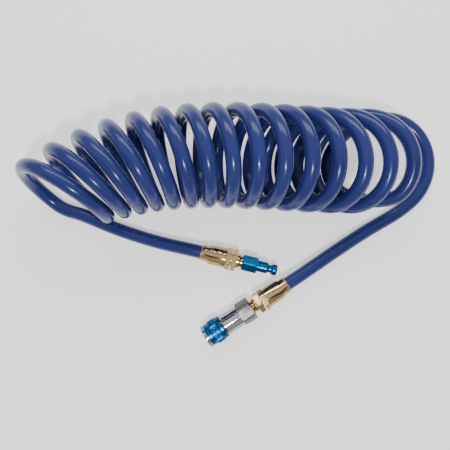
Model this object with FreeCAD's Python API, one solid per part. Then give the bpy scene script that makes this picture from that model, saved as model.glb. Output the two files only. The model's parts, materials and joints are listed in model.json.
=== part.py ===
import FreeCAD, Part
import math
import os

# Coiled polyurethane air hose: a recoil coil with two free tails, a brass swivel fitting on each,
# an anodised air plug on one end and a sleeve-operated quick coupler on the other.
# Millimetres, +Z up. The origin is on the table, midway between the two end fittings.

Vector = FreeCAD.Vector
X_AXIS = Vector(1, 0, 0)
Z_AXIS = Vector(0, 0, 1)

# ---------------------------------------------------------------- hose
HOSE_D = 14.3                     # 9/16 in outside
HOSE_BORE_D = 9.5                 # 3/8 in inside
HOSE_REST = 0.15                  # air under a stretch that lies on the table

# Coil: each value runs from the plug end to the coupler end, blended by blend().
COIL_TURNS = 15.0
SPINE_X = (-178.0, -69.0, 25.0, 135.0)
SPINE_Y = (102.0, 163.0, 127.5, 137.5)
TURN_HEADING = (57.8, 3.4, -15.8, 12.3)     # degrees, way each turn's axis points in plan
TURN_LEAN = (14.8, -8.0, 68.0)              # degrees from upright, like toppling dominoes
TURN_R = (41.7, 44.9)                       # radius of the hose's centre line
COIL_SOLID_START = -0.1                     # in turns
COIL_SOLID_END = 14.4
COIL_SECTIONS = 12

# ---------------------------------------------------------------- where the end fittings lie
PLUG_END_AT = (-45.6, 45.0)       # centre of the ferrule's rim
PLUG_END_TURN = -13.7             # degrees, way the fitting points in plan
PLUG_END_REST = 0.1               # under the nut's lowest corner
COUPLER_END_AT = (43.3, 12.0)
COUPLER_END_TURN = 213.2
COUPLER_SWIVEL_TURN = 30.0        # the swivel nut has turned a sixth against the ferrule's nut
BALL_TURN = 30.0

# ---------------------------------------------------------------- ferrule and its stem
FERRULE_NECK_WALL = 1.1
FERRULE_WALL = 2.9
FERRULE_NECK_LENGTH = 6.5
FERRULE_CONE_LENGTH = 4.0
FERRULE_LENGTH = 26.3             # up to its nut
FERRULE_SOCKET_GAP = 0.05         # round the hose
FERRULE_END_WALL = 0.3
NUT_STEP = 0.1                    # flats stand this far out of the ferrule
NUT_CORNER_CLIP = 0.38
NUT_LENGTH = 5.2
NUT_CHAMFER = 0.7

SPIGOT_R = 5.6                    # turning spigot of the stem
SPIGOT_FIT = 0.05                 # running fit in the swivel nipple
STEM_BARB_BITE = 0.2              # barb's edge into the hose's bore
STEM_BARB_ROOT_GAP = 0.15
STEM_BARB_PITCH = 3.5
STEM_LEAD = 2.5                   # hose in the ferrule ahead of the first barb, at least
STEM_SHOULDER_LENGTH = 2.0
STEM_SHOULDER_GAP = 0.15
STEM_BORE_R = 2.75
SPIGOT_REACH = 6.9                # past the swivel gap, inside the nipple

# ---------------------------------------------------------------- swivel nipple
SWIVEL_GAP = 0.8                  # air between the two nuts
NIPPLE_COLLAR_STEP = 0.9          # over the thread's crest
NIPPLE_COLLAR_LENGTH = 2.2
NIPPLE_CONE_LENGTH = 1.6
NIPPLE_BORE_R = 3.2
SPIGOT_END_GAP = 0.5
THREAD_R = 6.5
THREAD_PITCH = 1.41
THREAD_DEPTH = 0.75
THREAD_SHOWS = 2.6                # between the collar and the piece screwed on
THREAD_ENGAGED = 8.5
THREAD_GAP = 0.05
SOCKET_EXTRA = 1.5                # socket goes deeper than the thread

ORING_R = 0.62                    # swivel O-ring's section
ORING_SHIFT = 1.6                 # into the nipple from its back face
ORING_SLACK = 0.03
RETAINER_R = 0.5                  # swivel retaining ring's section
RETAINER_SHIFT = 4.6
RETAINER_SLACK = 0.12

# ---------------------------------------------------------------- air plug
PLUG_HEX_WALL = 1.4               # round the thread
PLUG_HEX_CORNER_CLIP = 0.28
PLUG_HEX_LENGTH = 15.6
PLUG_SHANK_R = 5.85
PLUG_SHANK_LENGTH = 10.4
PLUG_NECK_DEPTH = 1.8
PLUG_TAPER_LENGTH = 1.6
PLUG_NECK_LENGTH = 3.0
PLUG_TIP_STEP = 0.15              # tip below the shank
PLUG_TIP_LENGTH = 6.0
PLUG_TIP_ROUND = 1.6
PLUG_BORE_R = 2.9

# ---------------------------------------------------------------- coupler adapter
ADAPTER_AF = 22.2
ADAPTER_CORNER_R = 12.3
ADAPTER_HEX_LENGTH = 14.3
ADAPTER_CHAMFER = 1.0
ADAPTER_BORE_R = 4.0
ADAPTER_SPIGOT_R = 9.0
ADAPTER_SPIGOT_LENGTH = 5.7
ADAPTER_SEAL_R = 0.5

# ---------------------------------------------------------------- coupler body, from its rear face
BODY_STEP = 0.25                  # barrel below its collar
BODY_BARREL_LENGTH = 16.3
BODY_COLLAR_STEP = 0.2            # collar over the sleeve's spring chamber
BODY_COLLAR_LENGTH = 1.8
BODY_NECK_WALL = 2.4
BODY_WALL_GAP = 0.05              # round the adapter's spigot
CHAMBER_GAP = 0.8                 # round the poppet's disc
SEAT_TO_PACKING = 6.5
SEAT_BORE_GAP = 0.25              # over the packing's bore
PACKING_LENGTH = 2.5
PACKING_SQUEEZE = 0.25            # packing's bore below the plug's tip
PACKING_THICKNESS = 1.75
PACKING_SLOPE = 0.5
PACKING_GAP = 0.05
SOCKET_FIT = 0.15                 # round a plug's shank
GUIDE_FIT = 0.1                   # round a plug's tip
SOCKET_LENGTH = 5.8               # ahead of the balls
MOUTH_CHAMFER = 0.8
EDGE_BREAK = 0.3                  # on turned edges

# ---------------------------------------------------------------- locking balls
BALL_COUNT = 6
BALL_R = 2.0
BALL_FROM_PACKING = 4.0
BALL_SHOWS = 1.1                  # how far a locked ball stands into the socket
BALL_HOLE_GAP = 0.06
BALL_HOLE_LIP = 0.2
BALL_HOLE_LIP_DEPTH = 0.6

# ---------------------------------------------------------------- release sleeve
SLEEVE_TRAVEL = 4.0
SLEEVE_OPENING = 2.4              # from the body's collar to the sleeve at rest
SLEEVE_COLLAR_MARGIN = 0.8
SLEEVE_WALL = 1.5                 # over the released balls
SLEEVE_REAR_STEP = 0.4            # each section's radius over the front one's
SLEEVE_MID_STEP = 1.0
SLEEVE_REAR_LENGTH = 3.6
SLEEVE_FRONT_LENGTH = 4.6
SLEEVE_CONE_LENGTH = 1.0
SLEEVE_COLLAR_GAP = 0.3
SLEEVE_SPRING_ROOM = 1.7
SLEEVE_LAND_GAP = 0.2             # over the locked balls
SLEEVE_LAND_PAST_BALL = 0.3
SLEEVE_RELIEF_GAP = 0.1           # over the released balls, and beside them
SLEEVE_LIP_LENGTH = 0.9
SLEEVE_LIP_GAP = 0.3
KNURL_RIBS = 40
KNURL_DEPTH = 0.35
KNURL_MARGIN = 0.4
KNURL_RIB_SHARE = 0.5

SLEEVE_SPRING_WIRE_R = 0.6
SLEEVE_SPRING_OVER_LAND = 0.5
SLEEVE_SPRING_TURNS = 4
SPRING_END_GAP = 0.1
SPRING_POINTS_PER_TURN = 12

# ---------------------------------------------------------------- nose ring
NOSE_GAP = 0.1                    # ahead of the sleeve at rest
NOSE_SEAT_DEPTH = 0.9
NOSE_HUB_WALL = 1.4
NOSE_HUB_LENGTH = 1.5
NOSE_FLANGE_STEP = 0.1            # below the sleeve's middle
NOSE_FLANGE_LENGTH = 1.4
NOSE_MOUTH_STEP = 0.6

# ---------------------------------------------------------------- valve
VALVE_TRAVEL = 4.0
VALVE_END_GAP = 2.0
POPPET_DISC_STEP = 1.1            # over the seat's bore
POPPET_DISC_LENGTH = 2.5
POPPET_SEAT_GAP = 0.1
POPPET_NOSE_GAP = 0.85            # inside the packing
POPPET_NOSE_END_GAP = 0.1
POPPET_NOSE_WALL = 1.2
POPPET_TAIL_R = 2.6
POPPET_TAIL_LENGTH = 4.4
POPPET_PORT_R = 1.1
POPPET_PORT_GAP = 0.5
POPPET_PORTS = 4
VALVE_SEAL_MARGIN = 0.3
VALVE_SEAL_INNER_GAP = 0.15
VALVE_SEAL_DEPTH = 0.7
VALVE_SEAL_PROUD = 0.05
VALVE_SPRING_WIRE_R = 0.4
VALVE_SPRING_MARGIN = 1.2
VALVE_SPRING_TURNS = 5

# ---------------------------------------------------------------- worked out from the sizes above
HOSE_R = HOSE_D / 2
HOSE_BORE_R = HOSE_BORE_D / 2
HOSE_Z = HOSE_R + HOSE_REST
FERRULE_SOCKET_R = HOSE_R + FERRULE_SOCKET_GAP
FERRULE_RIM_R = FERRULE_SOCKET_R + FERRULE_NECK_WALL
FERRULE_R = FERRULE_SOCKET_R + FERRULE_WALL
NUT_AF = 2 * (FERRULE_R + NUT_STEP)
NUT_CORNER_R = NUT_AF / math.sqrt(3) - NUT_CORNER_CLIP
SPIGOT_FROM = FERRULE_LENGTH - FERRULE_END_WALL
HOSE_IN_FERRULE = SPIGOT_FROM - STEM_SHOULDER_LENGTH
NIPPLE_FROM = FERRULE_LENGTH + NUT_LENGTH + SWIVEL_GAP
NIPPLE_COLLAR_R = THREAD_R + NIPPLE_COLLAR_STEP
COLLAR_FROM = NIPPLE_FROM + NUT_LENGTH
THREAD_FROM = COLLAR_FROM + NIPPLE_COLLAR_LENGTH + NIPPLE_CONE_LENGTH
SCREWED_ON_AT = THREAD_FROM + THREAD_SHOWS          # back face of the plug and of the adapter
NIPPLE_END = SCREWED_ON_AT + THREAD_ENGAGED
ORING_AT = NIPPLE_FROM + ORING_SHIFT
RETAINER_AT = NIPPLE_FROM + RETAINER_SHIFT

PLUG_HEX_AF = 2 * (THREAD_R + THREAD_GAP + PLUG_HEX_WALL)
PLUG_HEX_CORNER_R = PLUG_HEX_AF / math.sqrt(3) - PLUG_HEX_CORNER_CLIP
PLUG_NECK_R = PLUG_SHANK_R - PLUG_NECK_DEPTH
PLUG_TIP_R = PLUG_SHANK_R - PLUG_TIP_STEP

BODY_AT = SCREWED_ON_AT + ADAPTER_HEX_LENGTH        # rear face of the coupler's body
SOCKET_R = PLUG_SHANK_R + SOCKET_FIT
GUIDE_R = PLUG_TIP_R + GUIDE_FIT
PACKING_INNER_R = PLUG_TIP_R - PACKING_SQUEEZE
PACKING_R = PACKING_INNER_R + PACKING_THICKNESS
SEAT_BORE_R = PACKING_INNER_R + SEAT_BORE_GAP
POPPET_R = SEAT_BORE_R + POPPET_DISC_STEP
POPPET_NOSE_R = PACKING_INNER_R - POPPET_NOSE_GAP
CHAMBER_R = POPPET_R + CHAMBER_GAP
BODY_NECK_R = SOCKET_R + BODY_NECK_WALL
VALVE_SEAL_R = POPPET_R - VALVE_SEAL_MARGIN
VALVE_SEAL_INNER_R = SEAT_BORE_R + VALVE_SEAL_INNER_GAP
VALVE_SPRING_R = POPPET_R - VALVE_SPRING_MARGIN
DISC_FROM = BODY_AT + ADAPTER_SPIGOT_LENGTH + VALVE_END_GAP + VALVE_TRAVEL + POPPET_TAIL_LENGTH
DISC_TO = DISC_FROM + POPPET_DISC_LENGTH
SEAT_AT = DISC_TO + POPPET_SEAT_GAP
PACKING_AT = SEAT_AT + SEAT_TO_PACKING
PACKING_TO = PACKING_AT + PACKING_LENGTH

BALL_AT = PACKING_TO + BALL_FROM_PACKING
BALL_LOCKED_R = SOCKET_R - BALL_SHOWS + BALL_R      # where a locked ball's centre is
BALL_HOLE_LIP_R = BALL_R - BALL_HOLE_LIP

COLLAR_END = BODY_AT + BODY_BARREL_LENGTH + BODY_COLLAR_LENGTH
SLEEVE_FROM = COLLAR_END + SLEEVE_OPENING
SLEEVE_LAND_R = BALL_LOCKED_R + BALL_R + SLEEVE_LAND_GAP
SLEEVE_RELIEF_R = SOCKET_R + 2 * BALL_R + SLEEVE_RELIEF_GAP
SLEEVE_LAND_FROM = BALL_AT - BALL_R
SLEEVE_LAND_TO = BALL_AT + SLEEVE_LAND_PAST_BALL
SLEEVE_RELIEF_FROM = BALL_AT - BALL_R + SLEEVE_TRAVEL - SLEEVE_RELIEF_GAP
SLEEVE_RELIEF_TO = BALL_AT + BALL_R + SLEEVE_TRAVEL + SLEEVE_RELIEF_GAP
SLEEVE_TO = SLEEVE_RELIEF_TO + SLEEVE_LIP_LENGTH
SLEEVE_FRONT_R = SLEEVE_RELIEF_R + SLEEVE_WALL
SLEEVE_REAR_R = SLEEVE_FRONT_R + SLEEVE_REAR_STEP
SLEEVE_MID_R = SLEEVE_FRONT_R + SLEEVE_MID_STEP
SLEEVE_CHAMBER_R = SLEEVE_LAND_R + SLEEVE_SPRING_ROOM
SLEEVE_SPRING_R = SLEEVE_LAND_R + SLEEVE_SPRING_OVER_LAND
BODY_COLLAR_R = SLEEVE_CHAMBER_R + BODY_COLLAR_STEP
BODY_R = BODY_COLLAR_R - BODY_STEP

HUB_FROM = SLEEVE_TO + NOSE_GAP
NECK_END = HUB_FROM + NOSE_SEAT_DEPTH
NOSE_HUB_R = BODY_NECK_R + NOSE_HUB_WALL
NOSE_FLANGE_R = SLEEVE_MID_R - NOSE_FLANGE_STEP
NOSE_MOUTH_R = SOCKET_R + NOSE_MOUTH_STEP

PLUG_END_Z = NUT_CORNER_R + PLUG_END_REST
COUPLER_END_Z = max(SLEEVE_MID_R, NUT_CORNER_R, ADAPTER_CORNER_R)

os.makedirs("parts", exist_ok=True)


# ================================================================ helpers
def blend(values, share):
    """A smooth blend through a row of control values, share 0 to 1 (a Bernstein blend)."""
    n = len(values) - 1
    total = 0.0
    for i, value in enumerate(values):
        total += math.comb(n, i) * share**i * (1 - share)**(n - i) * value
    return total


def turned(outline):
    """Solid of revolution about X from a closed outline of (along, radius) points."""
    points = [Vector(a, r, 0) for a, r in outline]
    wire = Part.makePolygon(points + [points[0]])
    return Part.Face(wire).revolve(Vector(0, 0, 0), X_AXIS, 360)


def rod(start, end, radius):
    return Part.makeCylinder(radius, end - start, Vector(start, 0, 0), X_AXIS)


def tube(start, end, outer_r, inner_r):
    return rod(start, end, outer_r).cut(rod(start - 1, end + 1, inner_r))


def ring(at, mean_r, section_r):
    return Part.makeTorus(mean_r, section_r, Vector(at, 0, 0), X_AXIS)


def nut(start, length, across_flats, corner_r, chamfer, turn=0.0):
    """Hexagon with a flat up at turn 0 and its corners clipped and chamfered."""
    r = across_flats / math.sqrt(3)
    corners = []
    for i in range(6):
        a = math.radians(60 * i + turn)
        corners.append(Vector(start, r * math.cos(a), r * math.sin(a)))
    prism = Part.Face(Part.makePolygon(corners + [corners[0]])).extrude(Vector(length, 0, 0))
    end = start + length
    edge_r = corner_r - chamfer
    blank = turned([(start, 0), (start, edge_r), (start + chamfer, corner_r),
                    (end - chamfer, corner_r), (end, edge_r), (end, 0)])
    return prism.common(blank)


def route_wire(points):
    """Straight runs joined by tangent arcs, each as large as its two runs allow."""
    edges = []
    last = points[0]
    radii = []
    for before, corner, after in zip(points, points[1:], points[2:]):
        back = before - corner
        ahead = after - corner
        half_turn = (math.pi - back.getAngle(ahead)) / 2
        cut = 0.45 * min(back.Length, ahead.Length)
        radii.append(cut / math.tan(half_turn))
        start = corner + back.normalize() * cut
        end = corner + ahead.normalize() * cut
        bisector = (start + end) * 0.5 - corner
        reach = radii[-1] / math.cos(half_turn) - radii[-1]
        middle = corner + bisector.normalize() * reach
        edges.append(Part.LineSegment(last, start).toShape())
        edges.append(Part.Arc(start, middle, end).toShape())
        last = end
    edges.append(Part.LineSegment(last, points[-1]).toShape())
    return Part.Wire(edges), radii


def spring(start, end, mean_r, wire_r, turns):
    """Open-ended helical spring along X between two faces."""
    run = end - start - 2 * wire_r
    count = turns * SPRING_POINTS_PER_TURN
    reach = mean_r / math.cos(math.pi / SPRING_POINTS_PER_TURN) ** 0.5
    points = []
    for i in range(count + 1):
        a = 2 * math.pi * i / SPRING_POINTS_PER_TURN
        points.append(Vector(start + wire_r + run * i / count, reach * math.cos(a), reach * math.sin(a)))
    path, radii = route_wire(points)
    section = Part.Wire(Part.makeCircle(wire_r, points[0], points[1] - points[0]))
    return path.makePipeShell([section], True, True)


def placed(shape, at, z, turn):
    shape.rotate(Vector(0, 0, 0), Z_AXIS, turn)
    shape.translate(Vector(at[0], at[1], z))
    return shape


def at_plug_end(shape):
    return placed(shape, PLUG_END_AT, PLUG_END_Z, PLUG_END_TURN)


def at_coupler_end(shape):
    return placed(shape, COUPLER_END_AT, COUPLER_END_Z, COUPLER_END_TURN)


def on_axis(at, z, turn, along):
    """Point on a fitting's axis, a length along it from the ferrule's rim."""
    a = math.radians(turn)
    return Vector(at[0] + along * math.cos(a), at[1] + along * math.sin(a), z)


def save(name, shape):
    solids = shape.Solids
    print("%-26s solids %d volume %9.1f valid %s" % (name, len(solids), shape.Volume, shape.isValid()))
    out = solids[0] if len(solids) == 1 else shape
    out.exportStep("parts/" + name + ".step")


# ================================================================ coil
def turn_frame(u):
    """Centre, sideways and up directions, lean and radius of the turn at u."""
    share = u / COIL_TURNS
    heading = math.radians(blend(TURN_HEADING, share))
    lean = math.radians(blend(TURN_LEAN, share))
    radius = blend(TURN_R, share)
    ahead = Vector(math.cos(heading), math.sin(heading), 0)
    side = Vector(-math.sin(heading), math.cos(heading), 0)
    up = ahead * math.sin(lean) + Z_AXIS * math.cos(lean)
    centre = Vector(blend(SPINE_X, share), blend(SPINE_Y, share), radius * math.cos(lean) + HOSE_Z)
    return centre, side, up, radius


def coil_point(u):
    centre, side, up, radius = turn_frame(u)
    a = 2 * math.pi * u
    return centre + (side * math.cos(a) + up * math.sin(a)) * radius


def coil_section(u, extra):
    centre, side, up, radius = turn_frame(u)
    return Part.Wire(Part.makeCircle(radius + extra, centre, side.cross(up)))


def coil_length(steps_per_turn=48):
    steps = int(COIL_TURNS * steps_per_turn)
    points = [coil_point(COIL_TURNS * i / steps) for i in range(steps + 1)]
    return sum((b - a).Length for a, b in zip(points, points[1:]))


def hose_coil():
    """Shell of the coil's outer shape. Its wall holds as much material as the turns it stands for."""
    span = COIL_SOLID_END - COIL_SOLID_START
    stations = [COIL_SOLID_START + span * i / (COIL_SECTIONS - 1) for i in range(COIL_SECTIONS)]
    outer = Part.makeLoft([coil_section(u, HOSE_R) for u in stations], True)
    material = math.pi * (HOSE_R**2 - HOSE_BORE_R**2) * coil_length() * span / COIL_TURNS
    mean_r = sum(TURN_R) / 2 + HOSE_R
    wall = mean_r * (1 - math.sqrt(max(0.2, 1 - material / outer.Volume)))
    print("coil %.0f mm of hose, shell wall %.2f" % (coil_length(), wall))
    inner = Part.makeLoft([coil_section(u, HOSE_R - wall) for u in stations], True)
    return outer.cut(inner)


# ================================================================ tails
def tail(name, points):
    path, radii = route_wire(points)
    way = (points[1] - points[0]).normalize()
    walls = []
    for r in (HOSE_R, HOSE_BORE_R):
        section = Part.Wire(Part.makeCircle(r, points[0], way))
        walls.append(path.makePipeShell([section], True, True))
    shape = walls[0].cut(walls[1])
    wanted = math.pi * (HOSE_R**2 - HOSE_BORE_R**2) * path.Length
    print("%s length %.1f volume/section*length %.4f radii %s"
          % (name, path.Length, shape.Volume / wanted, [round(r) for r in radii]))
    return shape


def plug_end_tail():
    """From inside the ferrule back along the table to the first turn's foot."""
    points = [
        on_axis(PLUG_END_AT, PLUG_END_Z, PLUG_END_TURN, HOSE_IN_FERRULE),
        on_axis(PLUG_END_AT, PLUG_END_Z, PLUG_END_TURN, -10),
        Vector(-84, 53.2, HOSE_Z + 0.8),
        Vector(-113, 61.5, HOSE_Z),
        Vector(-142, 71.8, HOSE_Z),
        Vector(-170, 84, HOSE_Z),
        coil_point(-0.22),
        coil_point(-0.14),
    ]
    return tail("plug_end_tail", points)


def coupler_end_tail():
    """From the last turn round a half loop on the table, then out to the ferrule."""
    points = [
        coil_point(14.44),
        Vector(112, 97, 22),
        Vector(90.5, 112, HOSE_Z + 3),
        Vector(84, 135.5, HOSE_Z),
        Vector(93.5, 158.5, HOSE_Z),
        Vector(116, 178.5, HOSE_Z),
        Vector(146.5, 186, HOSE_Z),
        Vector(172.5, 177.5, HOSE_Z),
        Vector(188.5, 156.5, HOSE_Z),
        Vector(192, 130.5, HOSE_Z),
        Vector(182, 105, HOSE_Z),
        Vector(160, 86, HOSE_Z),
        Vector(130.5, 69.5, HOSE_Z),
        Vector(99.5, 49.5, HOSE_Z + 1),
        Vector(71, 30.5, HOSE_Z + 4),
        on_axis(COUPLER_END_AT, COUPLER_END_Z, COUPLER_END_TURN, -10),
        on_axis(COUPLER_END_AT, COUPLER_END_Z, COUPLER_END_TURN, HOSE_IN_FERRULE),
    ]
    return tail("coupler_end_tail", points)


# ================================================================ swivel end, the same at both ends
def ferrule():
    cone_from = FERRULE_NECK_LENGTH
    cone_to = cone_from + FERRULE_CONE_LENGTH
    skin = turned([(0, 0), (0, FERRULE_RIM_R - EDGE_BREAK), (EDGE_BREAK, FERRULE_RIM_R),
                   (cone_from, FERRULE_RIM_R), (cone_to, FERRULE_R), (FERRULE_LENGTH, FERRULE_R), (FERRULE_LENGTH, 0)])
    solid = skin.fuse(nut(FERRULE_LENGTH, NUT_LENGTH, NUT_AF, NUT_CORNER_R, NUT_CHAMFER)).removeSplitter()
    solid = solid.cut(rod(-1, SPIGOT_FROM, FERRULE_SOCKET_R))
    return solid.cut(rod(-1, NIPPLE_FROM, SPIGOT_R + SPIGOT_FIT))


def stem():
    """Barbed tail that grips the hose, a shoulder inside the ferrule and the turning spigot."""
    barbs = int((HOSE_IN_FERRULE - STEM_LEAD) / STEM_BARB_PITCH)
    barbs_from = HOSE_IN_FERRULE - barbs * STEM_BARB_PITCH
    outline = [(barbs_from, 0)]
    for i in range(barbs):
        at = barbs_from + i * STEM_BARB_PITCH
        outline += [(at, HOSE_BORE_R - STEM_BARB_ROOT_GAP),
                    (at + STEM_BARB_PITCH, HOSE_BORE_R + STEM_BARB_BITE)]
    shoulder_r = FERRULE_SOCKET_R - STEM_SHOULDER_GAP
    spigot_to = NIPPLE_FROM + SPIGOT_REACH
    outline += [(HOSE_IN_FERRULE, shoulder_r), (SPIGOT_FROM, shoulder_r), (SPIGOT_FROM, SPIGOT_R),
                (spigot_to, SPIGOT_R), (spigot_to, 0)]
    solid = turned(outline).cut(rod(0, spigot_to + 1, STEM_BORE_R))
    groove_r = SPIGOT_R - 2 * ORING_R
    groove = tube(ORING_AT - ORING_R - ORING_SLACK, ORING_AT + ORING_R + ORING_SLACK,
                  SPIGOT_R + 1, groove_r)
    return solid.cut(groove).cut(ring(RETAINER_AT, SPIGOT_R, RETAINER_R + RETAINER_SLACK))


def swivel_oring():
    mean_r = SPIGOT_R - ORING_R + ORING_SLACK / 2
    return ring(ORING_AT, mean_r, ORING_R - ORING_SLACK / 2)


def retainer_ring():
    return ring(RETAINER_AT, SPIGOT_R, RETAINER_R)


def swivel_nipple(turn):
    thread_root = THREAD_R - THREAD_DEPTH
    outline = [(COLLAR_FROM - 1, 0), (COLLAR_FROM - 1, NIPPLE_COLLAR_R),
               (COLLAR_FROM + NIPPLE_COLLAR_LENGTH, NIPPLE_COLLAR_R), (THREAD_FROM, thread_root)]
    ribs = int((NIPPLE_END - THREAD_FROM) / THREAD_PITCH)
    for i in range(ribs):
        at = THREAD_FROM + i * THREAD_PITCH
        outline += [(at + THREAD_PITCH * 0.2, thread_root), (at + THREAD_PITCH * 0.5, THREAD_R),
                    (at + THREAD_PITCH * 0.65, THREAD_R), (at + THREAD_PITCH * 0.95, thread_root)]
    outline += [(NIPPLE_END, thread_root), (NIPPLE_END, 0)]
    hexagon = nut(NIPPLE_FROM, NUT_LENGTH, NUT_AF, NUT_CORNER_R, NUT_CHAMFER, turn)
    solid = hexagon.fuse(turned(outline)).removeSplitter()
    pocket_to = NIPPLE_FROM + SPIGOT_REACH + SPIGOT_END_GAP
    solid = solid.cut(rod(NIPPLE_FROM - 1, pocket_to, SPIGOT_R + SPIGOT_FIT))
    solid = solid.cut(rod(NIPPLE_FROM, NIPPLE_END + 1, NIPPLE_BORE_R))
    return solid.cut(ring(RETAINER_AT, SPIGOT_R, RETAINER_R + RETAINER_SLACK / 2))


def thread_socket():
    """Room for the nipple's thread, cut into whatever screws onto it."""
    return rod(SCREWED_ON_AT - 1, NIPPLE_END + SOCKET_EXTRA, THREAD_R + THREAD_GAP)


# ================================================================ air plug
def air_plug():
    shank_from = SCREWED_ON_AT + PLUG_HEX_LENGTH
    shank_to = shank_from + PLUG_SHANK_LENGTH
    neck_from = shank_to + PLUG_TAPER_LENGTH
    neck_to = neck_from + PLUG_NECK_LENGTH
    tip_to = neck_to + PLUG_TIP_LENGTH
    rounding = PLUG_TIP_ROUND
    outline = [(shank_from - 1, 0), (shank_from - 1, PLUG_SHANK_R), (shank_to, PLUG_SHANK_R),
               (neck_from, PLUG_NECK_R), (neck_to, PLUG_NECK_R)]
    steps = 6
    for i in range(steps + 1):
        a = math.pi / 2 * i / steps
        outline.append((neck_to + rounding * (1 - math.cos(a)),
                        PLUG_TIP_R - rounding * (1 - math.sin(a))))
    for i in range(steps + 1):
        a = math.pi / 2 * i / steps
        outline.append((tip_to - rounding * (1 - math.sin(a)), PLUG_TIP_R - rounding * (1 - math.cos(a))))
    outline += [(tip_to, 0)]
    hexagon = nut(SCREWED_ON_AT, PLUG_HEX_LENGTH, PLUG_HEX_AF, PLUG_HEX_CORNER_R, NUT_CHAMFER, 30)
    solid = hexagon.fuse(turned(outline)).removeSplitter()
    return solid.cut(thread_socket()).cut(rod(SCREWED_ON_AT, tip_to + 1, PLUG_BORE_R))


# ================================================================ quick coupler
def coupler_adapter():
    hexagon = nut(SCREWED_ON_AT, ADAPTER_HEX_LENGTH, ADAPTER_AF, ADAPTER_CORNER_R, ADAPTER_CHAMFER)
    spigot_to = BODY_AT + ADAPTER_SPIGOT_LENGTH
    solid = hexagon.fuse(rod(BODY_AT - 1, spigot_to, ADAPTER_SPIGOT_R)).removeSplitter()
    solid = solid.cut(thread_socket()).cut(rod(SCREWED_ON_AT, spigot_to + 1, ADAPTER_BORE_R))
    return solid.cut(ring(adapter_seal_at(), ADAPTER_SPIGOT_R - ADAPTER_SEAL_R, ADAPTER_SEAL_R * 1.1))


def adapter_seal_at():
    return BODY_AT + ADAPTER_SPIGOT_LENGTH / 2


def adapter_seal_ring():
    return ring(adapter_seal_at(), ADAPTER_SPIGOT_R - ADAPTER_SEAL_R, ADAPTER_SEAL_R)


def ball_spots():
    """Angle of each locking ball about the coupler's axis."""
    return [360 / BALL_COUNT * i + BALL_TURN for i in range(BALL_COUNT)]


def radial(shape, angle):
    """Turn a shape made along +Y from the axis to its own angle."""
    shape.rotate(Vector(0, 0, 0), X_AXIS, angle)
    return shape


def ball_hole(angle):
    at = Vector(BALL_AT, 0, 0)
    up = Vector(0, 1, 0)
    hole_r = BALL_R + BALL_HOLE_GAP
    lip = Part.makeCone(BALL_HOLE_LIP_R, hole_r, BALL_HOLE_LIP_DEPTH, at + up * SOCKET_R, up)
    throat = Part.makeCylinder(BALL_HOLE_LIP_R, SOCKET_R, at, up)
    rest = Part.makeCylinder(hole_r, BODY_NECK_R, at + up * (SOCKET_R + BALL_HOLE_LIP_DEPTH), up)
    return radial(throat.fuse(lip).fuse(rest), angle)


def coupler_body():
    barrel_to = BODY_AT + BODY_BARREL_LENGTH
    outline = [(BODY_AT, 0), (BODY_AT, BODY_R), (barrel_to, BODY_R), (barrel_to, BODY_COLLAR_R),
               (COLLAR_END, BODY_COLLAR_R), (COLLAR_END, BODY_NECK_R), (NECK_END, BODY_NECK_R), (NECK_END, 0)]
    solid = turned(outline)
    spigot_room = BODY_AT + ADAPTER_SPIGOT_LENGTH + BODY_WALL_GAP
    solid = solid.cut(rod(BODY_AT - 1, spigot_room, ADAPTER_SPIGOT_R + BODY_WALL_GAP))
    solid = solid.cut(rod(BODY_AT, SEAT_AT, CHAMBER_R))
    solid = solid.cut(rod(BODY_AT, PACKING_AT, SEAT_BORE_R))
    solid = solid.cut(rod(PACKING_AT, PACKING_TO, PACKING_R))
    solid = solid.cut(rod(PACKING_AT, NECK_END, GUIDE_R))
    solid = solid.cut(rod(NECK_END - SOCKET_LENGTH, NECK_END + 1, SOCKET_R))
    for angle in ball_spots():
        solid = solid.cut(ball_hole(angle))
    return solid


def packing_seal():
    start = PACKING_AT + PACKING_GAP
    end = PACKING_TO - PACKING_GAP
    slope = PACKING_SLOPE
    outline = [(start, PACKING_INNER_R + slope), (start + slope, PACKING_INNER_R),
               (end - slope, PACKING_INNER_R), (end, PACKING_INNER_R + slope),
               (end, PACKING_R - PACKING_GAP), (start, PACKING_R - PACKING_GAP)]
    return turned(outline)


def nose_ring():
    flange_from = HUB_FROM + NOSE_HUB_LENGTH
    flange_to = flange_from + NOSE_FLANGE_LENGTH
    edge = EDGE_BREAK
    outline = [(HUB_FROM, 0), (HUB_FROM, NOSE_HUB_R), (flange_from, NOSE_HUB_R),
               (flange_from, NOSE_FLANGE_R - edge), (flange_from + edge, NOSE_FLANGE_R),
               (flange_to - edge, NOSE_FLANGE_R), (flange_to, NOSE_FLANGE_R - edge), (flange_to, 0)]
    solid = turned(outline).cut(rod(HUB_FROM - 1, NECK_END, BODY_NECK_R))
    solid = solid.cut(rod(HUB_FROM, flange_to + 1, NOSE_MOUTH_R))
    flare_from = Vector(flange_to - MOUTH_CHAMFER, 0, 0)
    flare = Part.makeCone(NOSE_MOUTH_R, NOSE_MOUTH_R + MOUTH_CHAMFER, MOUTH_CHAMFER, flare_from, X_AXIS)
    return solid.cut(flare)


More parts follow.
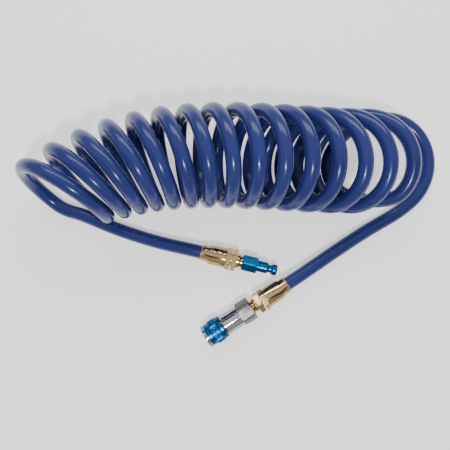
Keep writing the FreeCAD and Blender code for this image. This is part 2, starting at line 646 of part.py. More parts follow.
def release_sleeve():
    """Sleeve with ribs round its middle, a land that holds the balls in and a relief that frees them."""
    rear_to = SLEEVE_FROM + SLEEVE_REAR_LENGTH
    front_from = SLEEVE_TO - SLEEVE_FRONT_LENGTH
    cone = SLEEVE_CONE_LENGTH
    edge = EDGE_BREAK
    counterbore_r = BODY_COLLAR_R + SLEEVE_COLLAR_GAP
    counterbore_to = COLLAR_END + SLEEVE_TRAVEL + SLEEVE_COLLAR_MARGIN
    lip_r = BODY_NECK_R + SLEEVE_LIP_GAP
    outline = [
        (SLEEVE_FROM, counterbore_r), (SLEEVE_FROM, SLEEVE_REAR_R - edge), (SLEEVE_FROM + edge, SLEEVE_REAR_R),
        (rear_to, SLEEVE_REAR_R), (rear_to + cone, SLEEVE_MID_R), (front_from - cone, SLEEVE_MID_R),
        (front_from, SLEEVE_FRONT_R), (SLEEVE_TO - edge, SLEEVE_FRONT_R), (SLEEVE_TO, SLEEVE_FRONT_R - edge),
        (SLEEVE_TO, lip_r), (SLEEVE_RELIEF_TO, lip_r), (SLEEVE_RELIEF_TO, SLEEVE_RELIEF_R),
        (SLEEVE_RELIEF_FROM, SLEEVE_RELIEF_R), (SLEEVE_LAND_TO, SLEEVE_LAND_R),
        (SLEEVE_LAND_FROM, SLEEVE_LAND_R), (SLEEVE_LAND_FROM, SLEEVE_CHAMBER_R),
        (counterbore_to, SLEEVE_CHAMBER_R), (counterbore_to, counterbore_r),
    ]
    solid = turned(outline)
    knurl_from = rear_to + cone + KNURL_MARGIN
    knurl_to = front_from - cone - KNURL_MARGIN
    width = 2 * math.pi * SLEEVE_MID_R / KNURL_RIBS * (1 - KNURL_RIB_SHARE)
    cuts = []
    for i in range(KNURL_RIBS):
        box = Part.makeBox(knurl_to - knurl_from, KNURL_DEPTH + 1, width,
                           Vector(knurl_from, SLEEVE_MID_R - KNURL_DEPTH, -width / 2))
        cuts.append(radial(box, 360 / KNURL_RIBS * i))
    return solid.cut(Part.makeCompound(cuts))


def sleeve_spring():
    start = COLLAR_END + SPRING_END_GAP
    end = SLEEVE_LAND_FROM - SPRING_END_GAP
    return spring(start, end, SLEEVE_SPRING_R, SLEEVE_SPRING_WIRE_R, SLEEVE_SPRING_TURNS)


def locking_ball(angle):
    centre = Vector(BALL_AT, BALL_LOCKED_R, 0)
    return radial(Part.makeSphere(BALL_R, centre), angle)


def valve_poppet():
    """Disc with a hollow ported nose that the plug's tip pushes, and a short tail in the spring."""
    tail_from = DISC_FROM - POPPET_TAIL_LENGTH
    nose_to = PACKING_TO - POPPET_NOSE_END_GAP
    outline = [(tail_from, 0), (tail_from, POPPET_TAIL_R), (DISC_FROM, POPPET_TAIL_R),
               (DISC_FROM, POPPET_R), (DISC_TO, POPPET_R), (DISC_TO, POPPET_NOSE_R),
               (nose_to, POPPET_NOSE_R), (nose_to, 0)]
    solid = turned(outline)
    solid = solid.cut(rod(DISC_TO, nose_to + 1, POPPET_NOSE_R - POPPET_NOSE_WALL))
    port_at = Vector(DISC_TO + POPPET_PORT_R + POPPET_PORT_GAP, 0, 0)
    for i in range(POPPET_PORTS):
        port = Part.makeCylinder(POPPET_PORT_R, POPPET_R, port_at, Vector(0, 1, 0))
        solid = solid.cut(radial(port, 360 / POPPET_PORTS * i))
    return solid.cut(tube(DISC_TO - VALVE_SEAL_DEPTH, DISC_TO + 1, VALVE_SEAL_R, VALVE_SEAL_INNER_R))


def valve_seal():
    return tube(DISC_TO - VALVE_SEAL_DEPTH, DISC_TO + VALVE_SEAL_PROUD, VALVE_SEAL_R, VALVE_SEAL_INNER_R)


def valve_spring():
    start = BODY_AT + ADAPTER_SPIGOT_LENGTH + SPRING_END_GAP
    end = DISC_FROM - SPRING_END_GAP
    return spring(start, end, VALVE_SPRING_R, VALVE_SPRING_WIRE_R, VALVE_SPRING_TURNS)


# ================================================================ build
save("hose_coil", hose_coil())
save("plug_end_tail", plug_end_tail())
save("coupler_end_tail", coupler_end_tail())

for end_name, place, swivel_turn in (
    ("plug_end", at_plug_end, 0.0),
    ("coupler_end", at_coupler_end, COUPLER_SWIVEL_TURN),
):
    save(end_name + "_ferrule", place(ferrule()))
    save(end_name + "_stem", place(stem()))
    save(end_name + "_swivel_oring", place(swivel_oring()))
    save(end_name + "_retainer_ring", place(retainer_ring()))
    save(end_name + "_swivel_nipple", place(swivel_nipple(swivel_turn)))

save("air_plug", at_plug_end(air_plug()))
save("coupler_adapter", at_coupler_end(coupler_adapter()))
save("adapter_seal_ring", at_coupler_end(adapter_seal_ring()))
save("coupler_body", at_coupler_end(coupler_body()))
save("packing_seal", at_coupler_end(packing_seal()))
save("nose_ring", at_coupler_end(nose_ring()))
save("release_sleeve", at_coupler_end(release_sleeve()))
save("sleeve_spring", at_coupler_end(sleeve_spring()))
save("valve_poppet", at_coupler_end(valve_poppet()))
save("valve_seal", at_coupler_end(valve_seal()))
save("valve_spring", at_coupler_end(valve_spring()))
for number, angle in enumerate(ball_spots(), 1):
    save("locking_ball_%d" % number, at_coupler_end(locking_ball(angle)))
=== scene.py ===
import json
import math

import bmesh
import bpy
from mathutils import Matrix, Vector


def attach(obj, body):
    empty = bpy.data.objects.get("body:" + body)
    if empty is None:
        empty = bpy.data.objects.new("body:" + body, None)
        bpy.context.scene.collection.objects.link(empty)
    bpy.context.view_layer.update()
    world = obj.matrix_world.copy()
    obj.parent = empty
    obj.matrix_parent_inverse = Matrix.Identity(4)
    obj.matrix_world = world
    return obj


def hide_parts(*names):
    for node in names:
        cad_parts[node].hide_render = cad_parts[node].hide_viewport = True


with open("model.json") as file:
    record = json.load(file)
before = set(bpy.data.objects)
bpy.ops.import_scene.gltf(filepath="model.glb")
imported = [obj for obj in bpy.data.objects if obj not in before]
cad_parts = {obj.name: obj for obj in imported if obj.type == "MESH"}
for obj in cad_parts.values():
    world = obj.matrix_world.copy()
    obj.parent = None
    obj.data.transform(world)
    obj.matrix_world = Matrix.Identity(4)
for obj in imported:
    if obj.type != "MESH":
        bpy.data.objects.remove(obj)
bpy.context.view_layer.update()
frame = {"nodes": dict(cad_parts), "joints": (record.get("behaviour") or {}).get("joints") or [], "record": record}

MM = 0.001

# ---------------------------------------------------------------- hose, as the maker lays it out
HOSE_D = 14.3 * MM
HOSE_R = HOSE_D / 2
HOSE_Z = HOSE_R + 0.5 * MM
COIL_TURNS = 15.0
POINTS_PER_TURN = 16
SPINE_X = (-178.0, -69.0, 25.0, 135.0)
SPINE_Y = (102.0, 163.0, 127.5, 137.5)
TURN_HEADING = (57.8, 3.4, -15.8, 12.3)
TURN_LEAN = (14.8, -8.0, 68.0)
TURN_R = (41.7, 44.9)
HELIX_FROM = -0.25
HELIX_TO = 14.44
HOSE_IN_FERRULE = 20 * MM
STRAIGHT_OUT = 10 * MM

# ---------------------------------------------------------------- camera, over the table
CAMERA_AT = Vector((-21.0, 73.0, 490.0)) * MM
LENS = 36.95


# ================================================================ camera and hose
def make_camera():
    data = bpy.data.cameras.new("camera")
    data.lens = LENS
    data.sensor_width = 36.0
    camera = bpy.data.objects.new("camera", data)
    camera.location = CAMERA_AT
    bpy.context.scene.collection.objects.link(camera)
    bpy.context.scene.camera = camera


def blend(values, share):
    n = len(values) - 1
    total = 0.0
    for i, value in enumerate(values):
        total += math.comb(n, i) * share**i * (1 - share)**(n - i) * value
    return total


def coil_point(u, reach=1.0):
    """Point of the coil at turn u. reach above 1 sets control points outside the turn."""
    share = u / COIL_TURNS
    heading = math.radians(blend(TURN_HEADING, share))
    lean = math.radians(blend(TURN_LEAN, share))
    radius = blend(TURN_R, share) * MM
    ahead = Vector((math.cos(heading), math.sin(heading), 0))
    side = Vector((-math.sin(heading), math.cos(heading), 0))
    up = ahead * math.sin(lean) + Vector((0, 0, math.cos(lean)))
    spine = Vector((blend(SPINE_X, share) * MM, blend(SPINE_Y, share) * MM, radius * math.cos(lean) + HOSE_Z))
    a = 2 * math.pi * u
    return spine + (side * math.cos(a) + up * math.sin(a)) * radius * reach


class Fitting:
    """The axis of an end fitting, from its swivel joint. Lengths count from the ferrule's rim."""

    def __init__(self, joint_name):
        joint = next(j for j in frame["joints"] if j["name"] == joint_name)
        self.way = Vector(joint["axis"]).normalized()
        self.rim = Vector(joint["pos_m"]) - self.way * 34 * MM
        side = Vector((-self.way.y, self.way.x, 0))
        turn = Matrix((self.way, side, Vector((0, 0, 1)))).transposed()
        self.place = Matrix.Translation(self.rim) @ turn.to_4x4()
        self.angle = math.atan2(self.way.y, self.way.x)

    def point(self, along):
        return self.rim + self.way * along


plug_end = Fitting("plug_swivel")
coupler_end = Fitting("coupler_swivel")


def hose_route():
    """Plug end's tail, the coil's turns, then the last half loop and the coupler end's tail."""
    plug_tail = [
        plug_end.point(HOSE_IN_FERRULE),
        plug_end.point(-STRAIGHT_OUT),
        Vector((-84, 53.2, 8.1)) * MM,
        Vector((-113, 61.5, 7.3)) * MM,
        Vector((-142, 71.8, 7.3)) * MM,
        Vector((-170, 84, 7.3)) * MM,
    ]
    reach = 1 / math.cos(math.pi / POINTS_PER_TURN)
    steps = int((HELIX_TO - HELIX_FROM) * POINTS_PER_TURN)
    turns = [coil_point(HELIX_FROM + i / POINTS_PER_TURN, reach) for i in range(steps + 1)]
    coupler_tail = [
        Vector((112, 97, 22)) * MM,
        Vector((90.5, 112, 10.3)) * MM,
        Vector((84, 135.5, 7.3)) * MM,
        Vector((93.5, 158.5, 7.3)) * MM,
        Vector((116, 178.5, 7.3)) * MM,
        Vector((146.5, 186, 7.3)) * MM,
        Vector((172.5, 177.5, 7.3)) * MM,
        Vector((188.5, 156.5, 7.3)) * MM,
        Vector((192, 130.5, 7.3)) * MM,
        Vector((182, 105, 7.3)) * MM,
        Vector((160, 86, 7.3)) * MM,
        Vector((130.5, 69.5, 7.3)) * MM,
        Vector((99.5, 49.5, 8.3)) * MM,
        Vector((71, 30.5, 11.3)) * MM,
        coupler_end.point(-STRAIGHT_OUT),
        coupler_end.point(HOSE_IN_FERRULE),
    ]
    return plug_tail + turns + coupler_tail


def make_hose():
    data = bpy.data.curves.new("hose", "CURVE")
    data.dimensions = "3D"
    data.resolution_u = 6
    data.bevel_depth = 1.0            # times each point's radius, which is the hose's
    data.bevel_resolution = 6
    data.use_fill_caps = True
    route = hose_route()
    spline = data.splines.new("NURBS")
    spline.points.add(len(route) - 1)
    for point, at in zip(spline.points, route):
        point.co = (at.x, at.y, at.z, 1)
        point.radius = HOSE_R
    spline.order_u = 3
    spline.use_endpoint_u = True
    hose = bpy.data.objects.new("hose", data)
    bpy.context.scene.collection.objects.link(hose)
    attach(hose, "hose")
    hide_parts("hose_coil", "plug_end_tail", "coupler_end_tail")
    return hose


make_camera()
hose = make_hose()


# ================================================================ shader groups
def new_group(name, inputs, outputs):
    group = bpy.data.node_groups.new(name, "ShaderNodeTree")
    for label, kind, value in inputs:
        socket = group.interface.new_socket(label, in_out="INPUT", socket_type=kind)
        if value is not None:
            socket.default_value = value
    for label, kind in outputs:
        group.interface.new_socket(label, in_out="OUTPUT", socket_type=kind)
    start = group.nodes.new("NodeGroupInput")
    end = group.nodes.new("NodeGroupOutput")
    return group, start, end


def wire(tree, *pairs):
    for a, b in pairs:
        tree.links.new(a, b)


def maths(tree, operation, a, b, clamp=False):
    node = tree.nodes.new("ShaderNodeMath")
    node.operation = operation
    node.use_clamp = clamp
    for socket, value in zip(node.inputs, (a, b)):
        if isinstance(value, (int, float)):
            socket.default_value = value
        else:
            tree.links.new(value, socket)
    return node.outputs[0]


def noise(tree, vector, scale, detail=2.0, roughness=0.5):
    node = tree.nodes.new("ShaderNodeTexNoise")
    node.inputs["Detail"].default_value = detail
    node.inputs["Roughness"].default_value = roughness
    tree.links.new(vector, node.inputs["Vector"])
    if isinstance(scale, (int, float)):
        node.inputs["Scale"].default_value = scale
    else:
        tree.links.new(scale, node.inputs["Scale"])
    return node.outputs["Fac"]


def handling_group():
    """Faint patches and hairline scuffs from handling: varies roughness about a base value."""
    group, start, end = new_group(
        "handling_marks",
        [("Vector", "NodeSocketVector", None), ("Roughness", "NodeSocketFloat", 0.2),
         ("Patch Scale", "NodeSocketFloat", 60.0), ("Patch Amount", "NodeSocketFloat", 0.05),
         ("Scuff Scale", "NodeSocketFloat", 900.0), ("Scuff Amount", "NodeSocketFloat", 0.08)],
        [("Roughness", "NodeSocketFloat")])
    patches = noise(group, start.outputs["Vector"], start.outputs["Patch Scale"], 3.0)
    stretch = group.nodes.new("ShaderNodeMapping")
    stretch.inputs["Scale"].default_value = (1.0, 0.12, 0.35)
    wire(group, (start.outputs["Vector"], stretch.inputs["Vector"]))
    scuffs = noise(group, stretch.outputs[0], start.outputs["Scuff Scale"], 4.0, 0.7)
    sharp = group.nodes.new("ShaderNodeMapRange")
    sharp.inputs["From Min"].default_value = 0.56
    sharp.inputs["From Max"].default_value = 0.72
    wire(group, (scuffs, sharp.inputs["Value"]))
    swing = maths(group, "MULTIPLY", maths(group, "SUBTRACT", patches, 0.5), start.outputs["Patch Amount"])
    rub = maths(group, "MULTIPLY", sharp.outputs[0], start.outputs["Scuff Amount"])
    total = maths(group, "ADD", maths(group, "ADD", start.outputs["Roughness"], swing), rub, clamp=True)
    wire(group, (total, end.inputs["Roughness"]))
    return group


def lathe_group():
    """Fine rings left by turning, round a piece's own axis (the vector's X)."""
    group, start, end = new_group(
        "turning_rings",
        [("Vector", "NodeSocketVector", None), ("Pitch", "NodeSocketFloat", 0.12),
         ("Uneven", "NodeSocketFloat", 0.5)],
        [("Height", "NodeSocketFloat")])
    split = group.nodes.new("ShaderNodeSeparateXYZ")
    wire(group, (start.outputs["Vector"], split.inputs[0]))
    turns = maths(group, "DIVIDE", split.outputs["X"], maths(group, "MULTIPLY", start.outputs["Pitch"], MM))
    rings = maths(group, "SINE", maths(group, "MULTIPLY", turns, 2 * math.pi), 0.0)
    wander = noise(group, start.outputs["Vector"], 500.0, 2.0)
    height = maths(group, "ADD", maths(group, "MULTIPLY", rings, 0.5),
                   maths(group, "MULTIPLY", wander, start.outputs["Uneven"]))
    wire(group, (height, end.inputs["Height"]))
    return group


def tint_group():
    """Mixes two close tones of a finish by a soft noise."""
    group, start, end = new_group(
        "tone_drift",
        [("Vector", "NodeSocketVector", None), ("Scale", "NodeSocketFloat", 40.0),
         ("Tone A", "NodeSocketColor", (0.5, 0.5, 0.5, 1)),
         ("Tone B", "NodeSocketColor", (0.5, 0.5, 0.5, 1))],
        [("Color", "NodeSocketColor")])
    drift = noise(group, start.outputs["Vector"], start.outputs["Scale"], 3.0)
    ramp = group.nodes.new("ShaderNodeMapRange")
    ramp.inputs["From Min"].default_value = 0.35
    ramp.inputs["From Max"].default_value = 0.65
    mix = group.nodes.new("ShaderNodeMix")
    mix.data_type = "RGBA"
    wire(group, (drift, ramp.inputs["Value"]), (ramp.outputs[0], mix.inputs["Factor"]),
         (start.outputs["Tone A"], mix.inputs[6]), (start.outputs["Tone B"], mix.inputs[7]),
         (mix.outputs[2], end.inputs["Color"]))
    return group


HANDLING = handling_group()
LATHE = lathe_group()
TINT = tint_group()


# ================================================================ materials
class Finish:
    """A material with its Principled shader, read along a fitting's own axis where it has one."""

    def __init__(self, name, fitting=None):
        self.material = bpy.data.materials.new(name)
        self.material.use_nodes = True
        self.tree = self.material.node_tree
        self.shader = next(n for n in self.tree.nodes if n.type == "BSDF_PRINCIPLED")
        coords = self.tree.nodes.new("ShaderNodeTexCoord")
        self.vector = coords.outputs["Object"]
        if fitting:
            mapping = self.tree.nodes.new("ShaderNodeMapping")
            mapping.vector_type = "TEXTURE"
            mapping.inputs["Location"].default_value = fitting.rim
            mapping.inputs["Rotation"].default_value = (0, 0, fitting.angle)
            wire(self.tree, (self.vector, mapping.inputs["Vector"]))
            self.vector = mapping.outputs[0]

    def set(self, **values):
        for label, value in values.items():
            self.shader.inputs[label.replace("_", " ")].default_value = value
        return self

    def group(self, tree, **values):
        node = self.tree.nodes.new("ShaderNodeGroup")
        node.node_tree = tree
        wire(self.tree, (self.vector, node.inputs["Vector"]))
        for label, value in values.items():
            node.inputs[label.replace("_", " ")].default_value = value
        return node

    def tones(self, scale, a, b):
        node = self.group(TINT, Scale=scale, Tone_A=(*a, 1), Tone_B=(*b, 1))
        self.tone = node.outputs["Color"]
        wire(self.tree, (self.tone, self.shader.inputs["Base Color"]))
        return self

    def painted_edge_shade(self, tone, amount):
        """Painted shade: the base colour is mixed towards a darker colour where the surface turns away from the
        view, so the metal's edges are darker.
        """
        weight = self.tree.nodes.new("ShaderNodeLayerWeight")
        weight.inputs["Blend"].default_value = 0.5
        mix = self.tree.nodes.new("ShaderNodeMix")
        mix.data_type = "RGBA"
        mix.inputs[7].default_value = (*tone, 1)
        factor = maths(self.tree, "MULTIPLY", weight.outputs["Facing"], amount, clamp=True)
        wire(self.tree, (self.tone, mix.inputs[6]), (factor, mix.inputs["Factor"]),
             (mix.outputs[2], self.shader.inputs["Base Color"]))
        return self

    def marks(self, roughness, patch, scuff, patch_scale=60.0, scuff_scale=900.0):
        node = self.group(HANDLING, Roughness=roughness, Patch_Amount=patch, Scuff_Amount=scuff,
                          Patch_Scale=patch_scale, Scuff_Scale=scuff_scale)
        wire(self.tree, (node.outputs["Roughness"], self.shader.inputs["Roughness"]))
        return self

    def bump(self, height, strength, distance):
        node = self.tree.nodes.new("ShaderNodeBump")
        node.inputs["Strength"].default_value = strength
        node.inputs["Distance"].default_value = distance
        wire(self.tree, (height, node.inputs["Height"]),
             (node.outputs["Normal"], self.shader.inputs["Normal"]))
        return self

    def turned(self, pitch, strength, uneven=0.06):
        node = self.group(LATHE, Pitch=pitch, Uneven=uneven)
        return self.bump(node.outputs["Height"], strength, 0.02 * MM)


def blue_polyurethane():
    finish = Finish("blue_polyurethane")
    finish.tones(18.0, (0.021, 0.029, 0.146), (0.027, 0.037, 0.174)).marks(0.24, 0.06, 0.05, 25.0, 260.0)
    finish.set(IOR=1.42, Specular_Tint=(0.72, 0.80, 1.0, 1), Coat_Weight=0.12, Coat_Roughness=0.05)
    ripple = noise(finish.tree, finish.vector, 90.0, 2.0)
    return finish.bump(ripple, 0.12, 0.1 * MM).material


def bright_brass(fitting, name):
    finish = Finish(name, fitting)
    finish.tones(120.0, (0.90, 0.64, 0.31), (0.84, 0.57, 0.26)).marks(0.14, 0.04, 0.04)
    # painted shade: darker brown towards the brass's edges as seen from the camera
    finish.painted_edge_shade((0.20, 0.11, 0.04), 1.3)
    return finish.set(Metallic=1.0).turned(0.25, 0.04, 0.0).material


def blue_anodised(fitting, name):
    finish = Finish(name, fitting)
    finish.tones(150.0, (0.010, 0.150, 0.390), (0.008, 0.125, 0.330)).marks(0.32, 0.04, 0.04)
    # painted shade: deep navy towards the anodised blue's edges as seen from the camera
    finish.painted_edge_shade((0.0, 0.02, 0.07), 1.2)
    return finish.set(Metallic=1.0).turned(0.2, 0.06).material


def satin_nickel(fitting):
    finish = Finish("satin_nickel", fitting)
    finish.tones(200.0, (0.24, 0.23, 0.25), (0.18, 0.17, 0.19)).marks(0.42, 0.06, 0.06)
    grain = noise(finish.tree, finish.vector, 2500.0, 2.0)
    # painted shade: darker grey towards the nickel's edges as seen from the camera
    finish.painted_edge_shade((0.12, 0.12, 0.13), 0.9)
    return finish.set(Metallic=1.0).bump(grain, 0.15, 0.02 * MM).material


def polished_chrome(fitting):
    finish = Finish("polished_chrome", fitting)
    finish.tones(80.0, (0.82, 0.82, 0.84), (0.76, 0.76, 0.79)).marks(0.06, 0.02, 0.03)
    # painted shade: near-black towards the chrome's edges as seen from the camera
    finish.painted_edge_shade((0.10, 0.10, 0.11), 1.2)
    return finish.set(Metallic=1.0).turned(0.3, 0.01, 0.0).material


def wire_steel(name, tone, roughness):
    finish = Finish(name)
    finish.tones(300.0, tone, tuple(c * 0.85 for c in tone)).marks(roughness, 0.06, 0.1)
    return finish.set(Metallic=1.0).material


def nitrile_rubber():
    finish = Finish("nitrile_rubber")
    finish.tones(400.0, (0.018, 0.018, 0.020), (0.030, 0.030, 0.032)).marks(0.55, 0.1, 0.1)
    return finish.bump(noise(finish.tree, finish.vector, 3000.0), 0.2, 0.02 * MM).material


PLUG_BRASS = bright_brass(plug_end, "plug_end_brass")
COUPLER_BRASS = bright_brass(coupler_end, "coupler_end_brass")
PLUG_BLUE = blue_anodised(plug_end, "plug_anodised_blue")
SLEEVE_BLUE = blue_anodised(coupler_end, "sleeve_anodised_blue")
NICKEL = satin_nickel(coupler_end)
CHROME = polished_chrome(coupler_end)
SPRING_STEEL = wire_steel("spring_steel", (0.52, 0.53, 0.55), 0.28)
BALL_STEEL = wire_steel("ball_steel", (0.72, 0.73, 0.75), 0.08)
RUBBER = nitrile_rubber()


def give(piece, material):
    piece.data.materials.clear()
    piece.data.materials.append(material)


NODE_FINISHES = {
    "hose": blue_polyurethane(),
    "blue_anodised": SLEEVE_BLUE,
    "satin_nickel": NICKEL,
    "chrome": CHROME,
    "spring_steel": SPRING_STEEL,
    "ball_steel": BALL_STEEL,
    "seal_rubber": RUBBER,
}
give(hose, NODE_FINISHES["hose"])
for part in frame["record"]["subparts"]:
    name = part["node"]
    finish = NODE_FINISHES.get(part["material_slot"])
    if finish is None:
        finish = PLUG_BRASS if name.startswith("plug_end") else COUPLER_BRASS
    if name == "air_plug":
        finish = PLUG_BLUE
    give(frame["nodes"][name], finish)


# ================================================================ turned and milled pieces
RADIAL_STEPS = 96
TIP_ROUND_STEPS = 6
EDGE_ROUND = 0.18                 # millimetres, like the rest of this section
FERRULE_R = 10.1
FERRULE_NECK_R = 8.3
FERRULE_BORE_R = 7.3
FERRULE_LENGTH = 26.3
NUT_AF = 20.4
NUT_CORNER_R = 11.4
NUT_LENGTH = 5.2
NUT_CHAMFER = 0.7
NIPPLE_FROM = 32.3
COLLAR_FROM = 37.5
THREAD_FROM = 41.3
THREAD_R = 6.5
THREAD_ROOT_R = 5.75
THREAD_HOLE_R = 6.55
THREAD_PITCH = 1.41
COLLAR_R = 7.4
NIPPLE_END = 52.4
SCREWED_ON_AT = 43.9
SOCKET_TO = 53.9
SPIGOT_ROOM_R = 5.65
PLUG_AF = 15.9
PLUG_HEX_TO = 59.5
PLUG_SHANK_TO = 69.9
PLUG_TIP_FROM = 74.5
PLUG_TIP_TO = 80.5
PLUG_SHANK_R = 5.85
PLUG_NECK_R = 4.05
PLUG_TIP_R = 5.7
PLUG_TIP_ROUND = 1.6
PLUG_BORE_R = 2.9
ADAPTER_AF = 22.2
ADAPTER_TO = 58.2
SLEEVE_FROM = 78.7
SLEEVE_TO = 96.9
SLEEVE_REAR_R = 12.0
SLEEVE_MID_R = 12.6
SLEEVE_FRONT_R = 11.6
KNURL_FROM = 83.7
KNURL_TO = 90.9
KNURL_DEPTH = 0.3
KNURL_RIBS = 48
HUB_FROM = 97.0
HUB_R = 9.8
HUB_BORE_R = 8.45
FLANGE_FROM = 98.5
FLANGE_TO = 99.9


def spun(outline, steps=RADIAL_STEPS):
    """Closed ring of the outline (along, radius), turned about X."""
    shape = bmesh.new()
    corners = [shape.verts.new((a, r, 0)) for a, r in outline]
    edges = [shape.edges.new((a, b)) for a, b in zip(corners, corners[1:] + corners[:1])]
    bmesh.ops.spin(shape, geom=corners + edges, axis=(1, 0, 0), cent=(0, 0, 0), angle=2 * math.pi,
                   steps=steps, use_merge=True)
    bmesh.ops.remove_doubles(shape, verts=shape.verts, dist=0.001)
    bmesh.ops.recalc_face_normals(shape, faces=shape.faces)
    return shape


def mill_flats(shape, across_flats, turn):
    """Cuts six flats that leave the given size across them. At turn 0 one of them faces up."""
    for i in range(6):
        a = math.radians(60 * i + 30 + turn)
        way = Vector((0, math.cos(a), math.sin(a)))
        whole = shape.verts[:] + shape.edges[:] + shape.faces[:]
        cut = bmesh.ops.bisect_plane(shape, geom=whole, dist=0.0005, plane_co=way * across_flats / 2,
                                     plane_no=way, clear_outer=True)
        rim = [g for g in cut["geom_cut"] if isinstance(g, bmesh.types.BMEdge)]
        bmesh.ops.edgeloop_fill(shape, edges=rim)
    bmesh.ops.recalc_face_normals(shape, faces=shape.faces)
    return shape


def finish_piece(shape, name, fitting, node, body, material, edge_round=EDGE_ROUND):
    mesh = bpy.data.meshes.new(name)
    for face in shape.faces:
        face.smooth = True
    bmesh.ops.scale(shape, vec=(MM, MM, MM), verts=shape.verts)
    bmesh.ops.transform(shape, matrix=fitting.place, verts=shape.verts)
    shape.to_mesh(mesh)
    shape.free()
    piece = bpy.data.objects.new(name, mesh)
    bpy.context.scene.collection.objects.link(piece)
    edges = piece.modifiers.new("edges", "BEVEL")
    edges.width = edge_round * MM
    edges.segments = 2
    edges.limit_method = "ANGLE"
    edges.angle_limit = math.radians(28)
    edges.harden_normals = True
    give(piece, material)
    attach(piece, body)
    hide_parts(node)
    return piece


def nut_outline(start, length, corner_r, chamfer):
    end = start + length
    return [(start, corner_r - chamfer), (start + chamfer, corner_r), (end - chamfer, corner_r),
            (end, corner_r - chamfer)]


def ferrule(fitting, end_name, material):
    outline = [(0, FERRULE_BORE_R), (0, 7.9), (0.4, FERRULE_NECK_R), (1.5, FERRULE_NECK_R),
               (1.8, 8.1), (2.1, FERRULE_NECK_R), (6.5, FERRULE_NECK_R), (10.5, FERRULE_R),
               (25.2, FERRULE_R), (25.5, 9.8), (26.0, 9.8)]
    outline += nut_outline(FERRULE_LENGTH, NUT_LENGTH, NUT_CORNER_R, NUT_CHAMFER)
    outline += [(31.5, SPIGOT_ROOM_R), (26.0, SPIGOT_ROOM_R), (26.0, FERRULE_BORE_R)]
    shape = mill_flats(spun(outline), NUT_AF, 0)
    finish_piece(shape, end_name + "_ferrule_turned", fitting, end_name + "_ferrule", "hose",
                 material)


def swivel_nipple(fitting, end_name, turn, material):
    outline = nut_outline(NIPPLE_FROM, NUT_LENGTH, NUT_CORNER_R, NUT_CHAMFER)
    outline += [(COLLAR_FROM, COLLAR_R), (39.7, COLLAR_R), (THREAD_FROM, THREAD_ROOT_R)]
    at = THREAD_FROM
    while at + THREAD_PITCH < NIPPLE_END:
        outline += [(at + 0.28, THREAD_ROOT_R), (at + 0.66, THREAD_R), (at + 0.92, THREAD_R),
                    (at + 1.32, THREAD_ROOT_R)]
        at += THREAD_PITCH
    outline += [(NIPPLE_END, THREAD_ROOT_R), (NIPPLE_END, 3.2), (39.7, 3.2), (39.7, SPIGOT_ROOM_R),
                (NIPPLE_FROM, SPIGOT_ROOM_R)]
    shape = mill_flats(spun(outline), NUT_AF, turn)
    finish_piece(shape, end_name + "_nipple_turned", fitting, end_name + "_swivel_nipple",
                 end_name + "_swivel", material, 0.1)


def air_plug():
    outline = nut_outline(SCREWED_ON_AT, PLUG_HEX_TO - SCREWED_ON_AT, 8.9, NUT_CHAMFER)
    outline += [(PLUG_HEX_TO, PLUG_SHANK_R), (60.6, PLUG_SHANK_R), (60.9, 5.6), (61.5, 5.6),
                (61.8, PLUG_SHANK_R), (PLUG_SHANK_TO, PLUG_SHANK_R), (71.5, PLUG_NECK_R),
                (PLUG_TIP_FROM, PLUG_NECK_R)]
    quarter = [math.pi / 2 * i / TIP_ROUND_STEPS for i in range(TIP_ROUND_STEPS + 1)]
    for a in quarter:
        outline.append((PLUG_TIP_FROM + PLUG_TIP_ROUND * (1 - math.cos(a)),
                        PLUG_TIP_R - PLUG_TIP_ROUND * (1 - math.sin(a))))
    for a in quarter:
        outline.append((PLUG_TIP_TO - PLUG_TIP_ROUND * (1 - math.sin(a)),
                        PLUG_TIP_R - PLUG_TIP_ROUND * (1 - math.cos(a))))
    outline += [(PLUG_TIP_TO, PLUG_BORE_R), (SOCKET_TO, PLUG_BORE_R), (SOCKET_TO, THREAD_HOLE_R),
                (SCREWED_ON_AT, THREAD_HOLE_R)]
    shape = mill_flats(spun(outline), PLUG_AF, 30)
    finish_piece(shape, "air_plug_turned", plug_end, "air_plug", "plug_end_swivel",
                 PLUG_BLUE)


def coupler_adapter():
    outline = nut_outline(SCREWED_ON_AT, ADAPTER_TO - SCREWED_ON_AT, 12.3, 1.0)
    outline += [(ADAPTER_TO, 9.0), (63.9, 9.0), (63.9, 4.0), (SOCKET_TO, 4.0), (SOCKET_TO, THREAD_HOLE_R),
                (SCREWED_ON_AT, THREAD_HOLE_R)]
    shape = mill_flats(spun(outline), ADAPTER_AF, 0)
    finish_piece(shape, "coupler_adapter_milled", coupler_end, "coupler_adapter", "coupler_end_swivel",
                 NICKEL, 0.35)


def release_sleeve():
    """Polished rear and front sections, and ribs round the middle."""
    outline = [(SLEEVE_FROM, 11.3), (SLEEVE_FROM, 11.7), (79.0, SLEEVE_REAR_R), (81.9, SLEEVE_REAR_R),
               (82.2, 11.8), (82.5, 11.8), (83.2, SLEEVE_MID_R), (KNURL_FROM, SLEEVE_MID_R),
               (KNURL_FROM + 0.3, SLEEVE_MID_R), (KNURL_TO - 0.3, SLEEVE_MID_R), (KNURL_TO, SLEEVE_MID_R),
               (91.3, SLEEVE_MID_R), (92.3, SLEEVE_FRONT_R), (96.6, SLEEVE_FRONT_R), (SLEEVE_TO, 11.3),
               (SLEEVE_TO, 8.7), (96.0, 8.7), (96.0, 10.1), (91.8, 10.1), (90.2, 9.1), (87.9, 9.1),
               (87.9, 10.8), (81.1, 10.8), (81.1, 11.3)]
    shape = spun(outline, KNURL_RIBS * 4)
    for vert in shape.verts:
        r = math.hypot(vert.co.y, vert.co.z)
        column = round(math.atan2(vert.co.z, vert.co.y) / (2 * math.pi) * KNURL_RIBS * 4)
        if KNURL_FROM < vert.co.x < KNURL_TO and r > SLEEVE_MID_R - 0.01 and column % 4 in (2, 3):
            vert.co.y *= 1 - KNURL_DEPTH / r
            vert.co.z *= 1 - KNURL_DEPTH / r
    finish_piece(shape, "release_sleeve_turned", coupler_end, "release_sleeve", "sleeve",
                 SLEEVE_BLUE, 0.08)


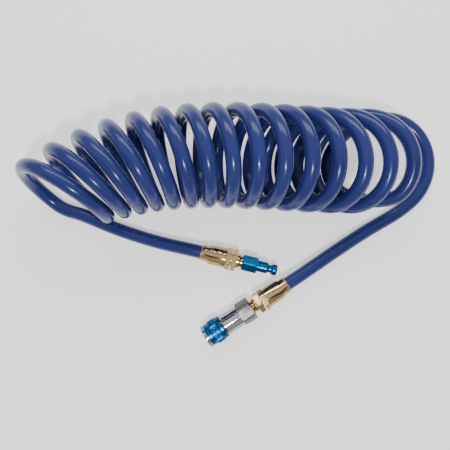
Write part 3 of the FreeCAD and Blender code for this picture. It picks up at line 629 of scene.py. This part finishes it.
def nose_ring():
    outline = [(HUB_FROM, HUB_BORE_R), (HUB_FROM, HUB_R), (FLANGE_FROM, HUB_R), (FLANGE_FROM, 12.3),
               (98.7, 12.5), (FLANGE_TO - 0.2, 12.5), (FLANGE_TO, 12.3), (FLANGE_TO, 7.4),
               (99.1, 6.6), (97.95, 6.6), (97.95, HUB_BORE_R)]
    finish_piece(spun(outline), "nose_ring_turned", coupler_end, "nose_ring", "coupler_end_swivel",
                 CHROME, 0.12)


ferrule(plug_end, "plug_end", PLUG_BRASS)
ferrule(coupler_end, "coupler_end", COUPLER_BRASS)
swivel_nipple(plug_end, "plug_end", 0, PLUG_BRASS)
swivel_nipple(coupler_end, "coupler_end", 30, COUPLER_BRASS)
air_plug()
coupler_adapter()
release_sleeve()
nose_ring()


# ================================================================ table and light
TABLE_SIZE = 25.0
TABLE_GLOW = 0.7
HORIZON = (0.50, 0.51, 0.53, 1)


def make_table():
    mesh = bpy.data.meshes.new("table")
    shape = bmesh.new()
    bmesh.ops.create_grid(shape, x_segments=2, y_segments=2, size=TABLE_SIZE)
    shape.to_mesh(mesh)
    shape.free()
    table = bpy.data.objects.new("table", mesh)
    bpy.context.scene.collection.objects.link(table)
    finish = Finish("white_table")
    finish.tones(3.0, (0.90, 0.90, 0.90), (0.88, 0.88, 0.88)).marks(0.7, 0.02, 0.0)
    finish.set(Emission_Color=(1, 1, 1, 1), Emission_Strength=TABLE_GLOW, Specular_IOR_Level=0.1)
    give(table, finish.material)


def soft_box(name, at, aim, size, power):
    data = bpy.data.lights.new(name, "AREA")
    data.shape = "RECTANGLE"
    data.size, data.size_y = size
    data.energy = power
    light = bpy.data.objects.new(name, data)
    light.location = at
    light.rotation_euler = (Vector(aim) - Vector(at)).to_track_quat("-Z", "Y").to_euler()
    bpy.context.scene.collection.objects.link(light)


def make_world(strength):
    """Plain at eye level, with bright and dark bands overhead that give the metal its streaks."""
    world = bpy.data.worlds.new("studio")
    world.use_nodes = True
    tree = world.node_tree
    coords = tree.nodes.new("ShaderNodeTexCoord")
    split = tree.nodes.new("ShaderNodeSeparateXYZ")
    ramp = tree.nodes.new("ShaderNodeValToRGB")
    bands = ((0.00, 0.50), (0.27, 0.45), (0.32, 0.05), (0.43, 0.05), (0.49, 0.80), (0.72, 0.75),
             (0.78, 0.05), (0.92, 0.04), (1.00, 0.35))
    stops = ramp.color_ramp.elements
    while len(stops) < len(bands):
        stops.new(1.0)
    for stop, (at, level) in zip(stops, bands):
        stop.position = at
        stop.color = (level * 0.96, level * 0.98, level, 1)
    across = maths(tree, "ADD", maths(tree, "MULTIPLY", split.outputs["Y"], 0.5), 0.5)
    height = tree.nodes.new("ShaderNodeMapRange")
    height.inputs["From Min"].default_value = 0.38
    height.inputs["From Max"].default_value = 0.52
    mix = tree.nodes.new("ShaderNodeMix")
    mix.data_type = "RGBA"
    mix.inputs[6].default_value = HORIZON
    back = tree.nodes["Background"]
    back.inputs["Strength"].default_value = strength
    wire(tree, (coords.outputs["Generated"], split.inputs[0]), (across, ramp.inputs["Fac"]),
         (split.outputs["Z"], height.inputs["Value"]), (height.outputs[0], mix.inputs["Factor"]),
         (ramp.outputs["Color"], mix.inputs[7]), (mix.outputs[2], back.inputs["Color"]))
    bpy.context.scene.world = world


make_table()
make_world(0.8)
soft_box("far_bank", (0.0, 0.95, 0.75), (0.0, 0.12, 0.0), (1.4, 0.35), 9.0)
soft_box("near_key", (-0.02, -0.28, 0.95), (0.0, 0.1, 0.0), (0.10, 0.10), 6.0)
